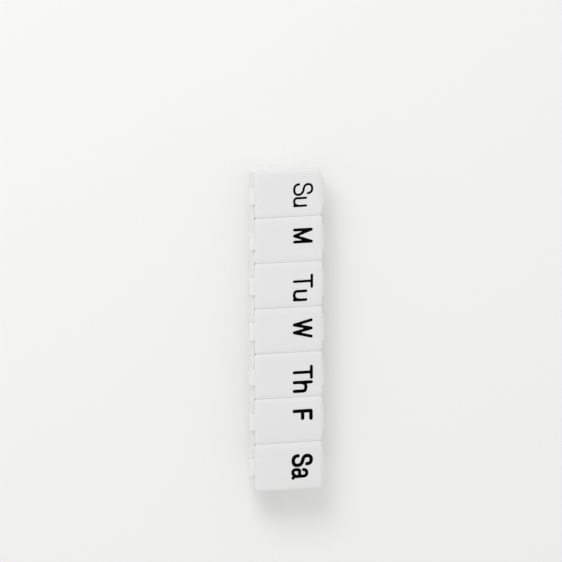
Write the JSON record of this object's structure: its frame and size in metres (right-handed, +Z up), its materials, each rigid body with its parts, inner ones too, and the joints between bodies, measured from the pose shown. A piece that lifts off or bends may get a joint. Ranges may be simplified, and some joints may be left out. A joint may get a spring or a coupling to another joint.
{
  "type": "weekly pill organizer",
  "caption": "Small oblong pill organizer: a row of round-floored cups, each with a snap lid on a living hinge, marked with weekday abbreviations.",
  "frame": {"origin": "centre of the flat resting face under the tray", "axes": "+X along the row of cups from Sunday to Saturday, -Y towards the thumb tabs at the front, +Z up out of the cups"},
  "size_m": [0.1328, 0.0305, 0.0207],
  "materials": {
    "tray_polypropylene": "moulded white polypropylene, satin",
    "lid_polypropylene": "moulded white polypropylene, satin, black printed marks",
    "hinge_polypropylene": "thin white polypropylene web"
  },
  "bodies": {
    "tray": {"tray": "tray_polypropylene", "hinge_sunday": "hinge_polypropylene", "hinge_monday": "hinge_polypropylene", "hinge_tuesday": "hinge_polypropylene", "hinge_wednesday": "hinge_polypropylene", "hinge_thursday": "hinge_polypropylene", "hinge_friday": "hinge_polypropylene", "hinge_saturday": "hinge_polypropylene"},
    "sunday_lid": {"lid_sunday": "lid_polypropylene"},
    "monday_lid": {"lid_monday": "lid_polypropylene"},
    "tuesday_lid": {"lid_tuesday": "lid_polypropylene"},
    "wednesday_lid": {"lid_wednesday": "lid_polypropylene"},
    "thursday_lid": {"lid_thursday": "lid_polypropylene"},
    "friday_lid": {"lid_friday": "lid_polypropylene"},
    "saturday_lid": {"lid_saturday": "lid_polypropylene"}
  },
  "joints": [
    {"name": "sunday_hinge", "type": "hinge", "parent": "tray", "child": "sunday_lid", "pos_m": [-0.0561, 0.01517, 0.0192], "axis": [-1, 0, 0], "range_deg": [0, 180], "deforming": ["hinge_sunday"]},
    {"name": "monday_hinge", "type": "hinge", "parent": "tray", "child": "monday_lid", "pos_m": [-0.0374, 0.01517, 0.0192], "axis": [-1, 0, 0], "range_deg": [0, 180], "deforming": ["hinge_monday"]},
    {"name": "tuesday_hinge", "type": "hinge", "parent": "tray", "child": "tuesday_lid", "pos_m": [-0.0187, 0.01517, 0.0192], "axis": [-1, 0, 0], "range_deg": [0, 180], "deforming": ["hinge_tuesday"]},
    {"name": "wednesday_hinge", "type": "hinge", "parent": "tray", "child": "wednesday_lid", "pos_m": [0, 0.01517, 0.0192], "axis": [-1, 0, 0], "range_deg": [0, 180], "deforming": ["hinge_wednesday"]},
    {"name": "thursday_hinge", "type": "hinge", "parent": "tray", "child": "thursday_lid", "pos_m": [0.0187, 0.01517, 0.0192], "axis": [-1, 0, 0], "range_deg": [0, 180], "deforming": ["hinge_thursday"]},
    {"name": "friday_hinge", "type": "hinge", "parent": "tray", "child": "friday_lid", "pos_m": [0.0374, 0.01517, 0.0192], "axis": [-1, 0, 0], "range_deg": [0, 180], "deforming": ["hinge_friday"]},
    {"name": "saturday_hinge", "type": "hinge", "parent": "tray", "child": "saturday_lid", "pos_m": [0.0561, 0.01517, 0.0192], "axis": [-1, 0, 0], "range_deg": [0, 180], "deforming": ["hinge_saturday"]}
  ]
}
